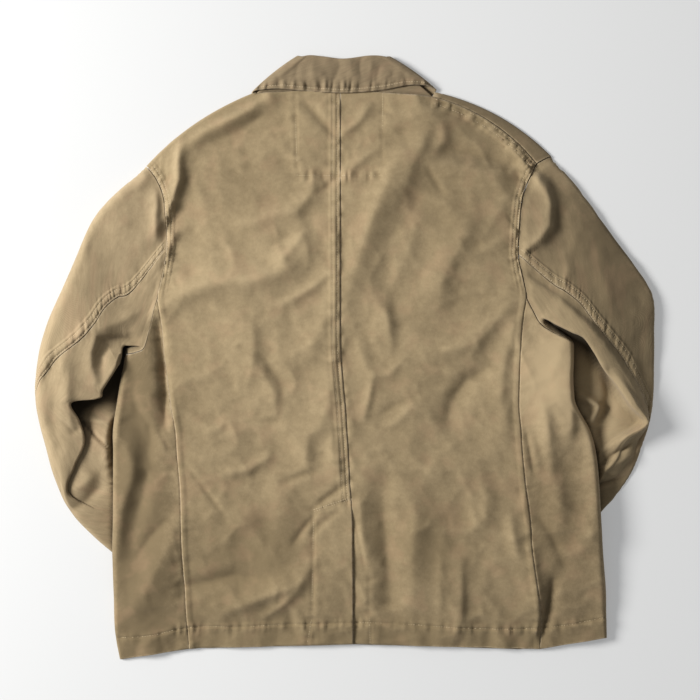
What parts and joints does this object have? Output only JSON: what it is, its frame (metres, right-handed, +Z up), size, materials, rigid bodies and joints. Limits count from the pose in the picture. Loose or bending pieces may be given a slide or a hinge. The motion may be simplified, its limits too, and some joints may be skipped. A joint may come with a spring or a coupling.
{
  "type": "cargo jacket laid flat",
  "caption": "Collared cotton twill cargo jacket laid face down, back seams and hem vent on top, both forearms tucked beneath the body.",
  "frame": {"origin": "middle of the jacket's outline, on the surface it lies on", "axes": "+Y from hem to collar, +X towards the wearer's right sleeve, +Z up from the surface, out of the back"},
  "size_m": [0.782, 0.7648, 0.0306],
  "materials": {
    "back_cloth": "garment-washed cotton twill, khaki brown",
    "sleeve_cloth": "garment-washed cotton twill, khaki brown",
    "front_cloth": "garment-washed cotton twill, khaki brown",
    "collar_cloth": "two layers of the same twill, pressed",
    "button": "matt brown"
  },
  "bodies": {
    "root": {"back_left": "back_cloth", "back_right": "back_cloth", "side_left": "back_cloth", "side_right": "back_cloth", "front_left": "front_cloth", "front_right": "front_cloth", "sleeve_left_top": "sleeve_cloth", "sleeve_left_under": "sleeve_cloth", "sleeve_right_top": "sleeve_cloth", "sleeve_right_under": "sleeve_cloth", "collar_fall": "collar_cloth", "collar_stand": "collar_cloth", "pocket_left": "front_cloth", "pocket_right": "front_cloth", "flap_left": "front_cloth", "flap_right": "front_cloth", "button_1": "button", "button_2": "button", "button_3": "button", "button_4": "button", "button_5": "button"}
  },
  "joints": []
}
